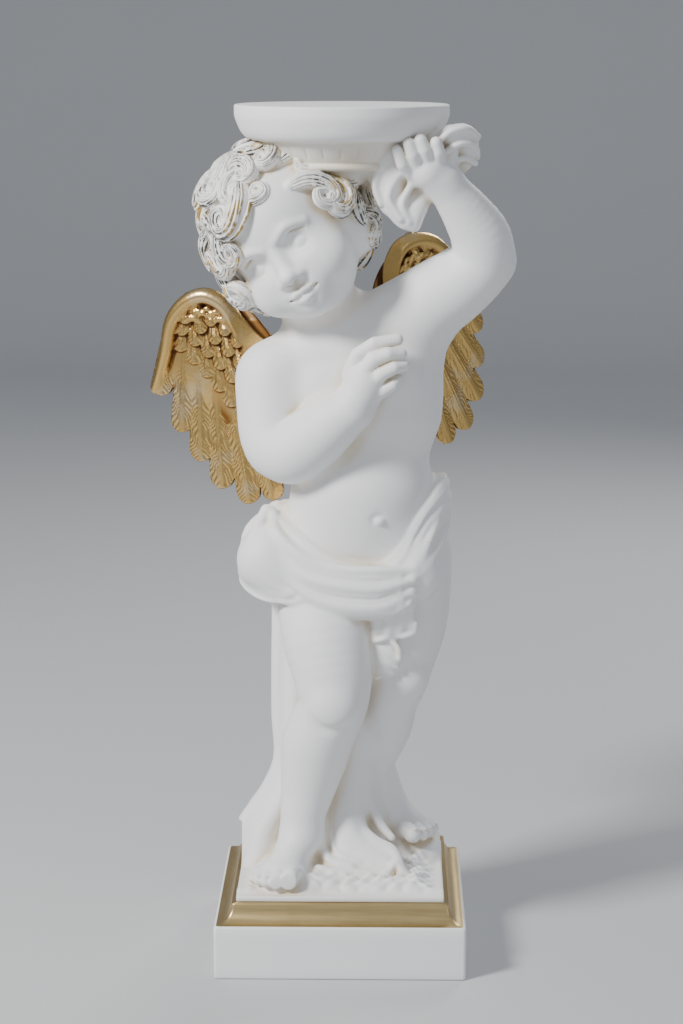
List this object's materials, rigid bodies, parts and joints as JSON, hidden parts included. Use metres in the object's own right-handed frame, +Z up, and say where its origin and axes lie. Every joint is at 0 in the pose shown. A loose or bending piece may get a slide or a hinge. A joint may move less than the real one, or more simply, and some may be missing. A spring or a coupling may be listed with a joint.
{
  "type": "putto tray-bearer statue",
  "caption": "Standing winged child in a hip cloth, one arm raised to steady a round tray on the head, on a square moulded plinth.",
  "frame": {"origin": "middle of the plinth's square underside, on the floor", "axes": "+Z up, the figure faces -Y, +X is to the right of someone who looks at its front"},
  "size_m": [0.3489, 0.2584, 0.8],
  "materials": {
    "plaster": "matte white painted plaster, warm tint in the recesses, dark and gold dry brush in the hair",
    "gilt": "antique gilding, bright on the ridges and brown in the recesses",
    "plinth": "matte white painted plaster with a satin gold cove"
  },
  "bodies": {
    "root": {"figure": "plaster", "wing_right": "gilt", "wing_left": "gilt", "plinth": "plinth"}
  },
  "joints": []
}
